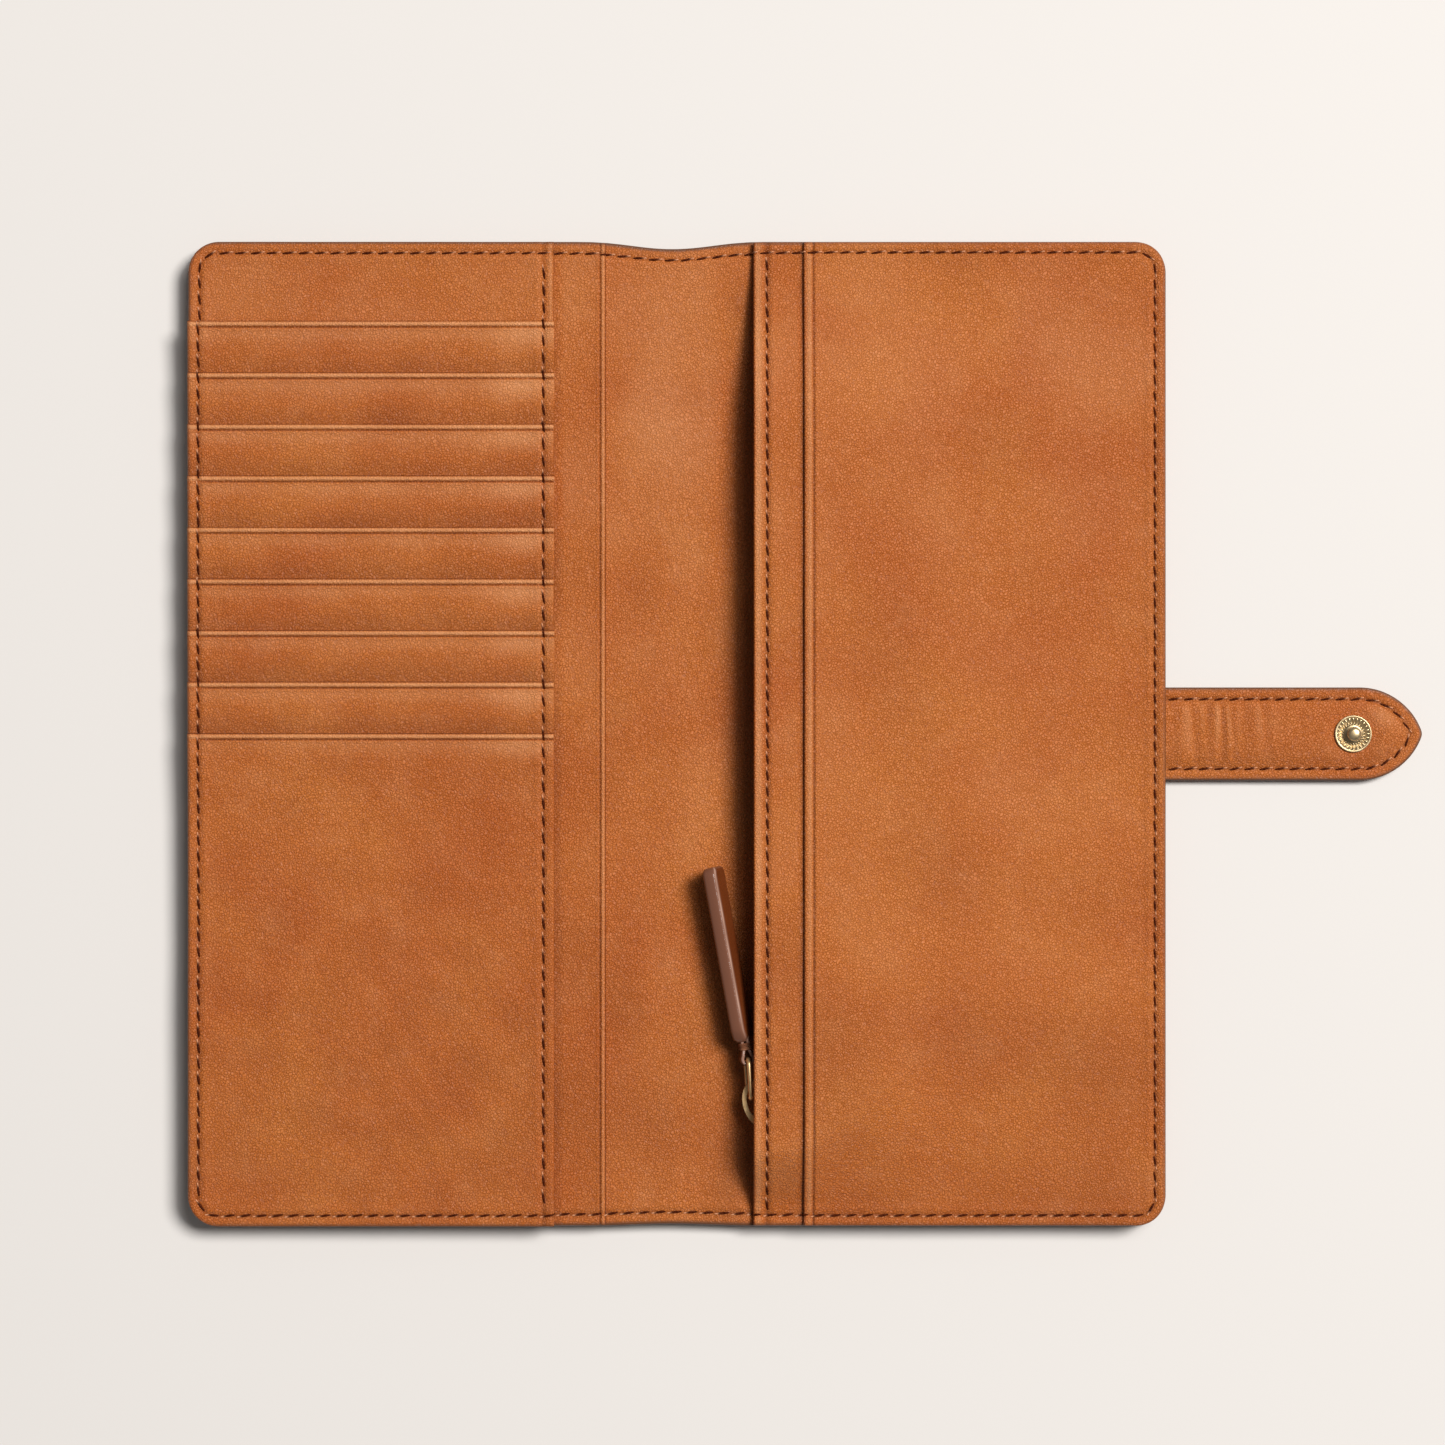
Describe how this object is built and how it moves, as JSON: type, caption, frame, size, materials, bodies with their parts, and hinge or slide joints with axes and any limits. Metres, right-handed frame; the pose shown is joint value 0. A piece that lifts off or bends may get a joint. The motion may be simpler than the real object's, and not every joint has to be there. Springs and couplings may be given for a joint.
{
  "type": "long wallet",
  "caption": "Open long leather wallet with stepped card slots, a zip coin pocket with a leather pull, slip pockets and a snap strap.",
  "frame": {"origin": "middle of the spine, on the outer face of the cover", "axes": "+X from the spine towards the strap, +Y towards the top edge, +Z out of the inside face of the open wallet"},
  "size_m": [0.239, 0.1906, 0.0141],
  "materials": {
    "cover_leather": "oiled tan pull-up leather, satin",
    "panel_leather": "oiled tan pull-up leather, satin",
    "lining_leather": "thin tan leather, satin",
    "strap_leather": "oiled tan leather, satin, painted edges",
    "tab_leather": "tan leather with glossy dark brown painted edge",
    "thread": "waxed dark brown thread",
    "zip_tape": "woven dark brown tape",
    "slot_fabric": "thin woven lining",
    "board": "bonded fibre board",
    "zip_metal": "polished antique brass",
    "snap_metal": "polished pale brass"
  },
  "bodies": {
    "back_half": {"back_cover": "cover_leather", "back_stiffener": "board", "back_lining": "lining_leather", "zip_pocket_back_wall": "panel_leather", "zip_pocket_front_wall": "panel_leather", "slip_pocket": "panel_leather", "zip_tape_lower": "zip_tape", "zip_tape_upper": "zip_tape", "zip_teeth_lower": "zip_metal", "zip_teeth_upper": "zip_metal", "zip_bottom_stop": "zip_metal", "zip_top_stops": "zip_metal", "back_edge_stitches": "thread", "zip_seam_stitches": "thread", "strap_anchor_stitches": "thread", "strap_base_outer": "strap_leather", "strap_base_inner": "strap_leather"},
    "spine": {"spine_cover": "cover_leather", "spine_lining": "lining_leather", "spine_stitches": "thread"},
    "front_half": {"front_cover": "cover_leather", "front_stiffener": "board", "front_lining": "lining_leather", "bill_pocket_panel": "panel_leather", "card_panel_back": "panel_leather", "card_slot_linings": "slot_fabric", "card_slot_1": "panel_leather", "card_slot_2": "panel_leather", "card_slot_3": "panel_leather", "card_slot_4": "panel_leather", "card_slot_5": "panel_leather", "card_slot_6": "panel_leather", "card_slot_7": "panel_leather", "card_slot_8": "panel_leather", "card_pocket_front": "panel_leather", "front_edge_stitches": "thread", "card_panel_stitches": "thread", "snap_socket": "snap_metal", "snap_spring": "snap_metal", "snap_socket_cap": "snap_metal"},
    "strap_mid": {"strap_mid_outer": "strap_leather", "strap_mid_inner": "strap_leather", "strap_mid_stitches": "thread"},
    "strap_tip": {"strap_tip_outer": "strap_leather", "strap_tip_inner": "strap_leather", "strap_tip_stitches": "thread", "snap_stud": "snap_metal", "snap_cap": "snap_metal"},
    "zip_slider": {"zip_slider": "zip_metal"},
    "pull_link": {"pull_link": "snap_metal"},
    "pull_tab": {"pull_tab": "tab_leather", "pull_tab_binding": "thread"}
  },
  "joints": [
    {"name": "cover_fold", "type": "hinge", "parent": "back_half", "child": "spine", "pos_m": [0.00584, 0, 0.00366], "axis": [0, 1, 0], "range_deg": [0, 90]},
    {"name": "front_fold", "type": "hinge", "parent": "spine", "child": "front_half", "pos_m": [-0.00584, 0, 0.00366], "axis": [0, 1, 0], "range_deg": [0, 90]},
    {"name": "strap_wrap", "type": "hinge", "parent": "back_half", "child": "strap_mid", "pos_m": [0.095, 0, 0.0004], "axis": [0, -1, 0], "range_deg": [0, 90]},
    {"name": "strap_tip_fold", "type": "hinge", "parent": "strap_mid", "child": "strap_tip", "pos_m": [0.1157, 0, 0.0004], "axis": [0, -1, 0], "range_deg": [0, 90]},
    {"name": "slider_travel", "type": "slide", "parent": "back_half", "child": "zip_slider", "axis": [0, 1, 0], "range_m": [-0.001, 0.123], "deforming": ["zip_teeth_lower", "zip_teeth_upper"]},
    {"name": "pull_swing", "type": "hinge", "parent": "zip_slider", "child": "pull_link", "pos_m": [0.014, -0.0698, 0.0064], "axis": [-0.1045, 0, -0.9945], "range_deg": [-120, 0]},
    {"name": "tab_swing", "type": "hinge", "parent": "pull_link", "child": "pull_tab", "pos_m": [0.0135, -0.0624, 0.0064], "axis": [-0.1045, 0, -0.9945], "range_deg": [-50, 0]}
  ],
  "couplings": [
    {"joint": "front_fold", "follows": "cover_fold", "ratio": 1},
    {"joint": "strap_tip_fold", "follows": "strap_wrap", "ratio": 1}
  ]
}
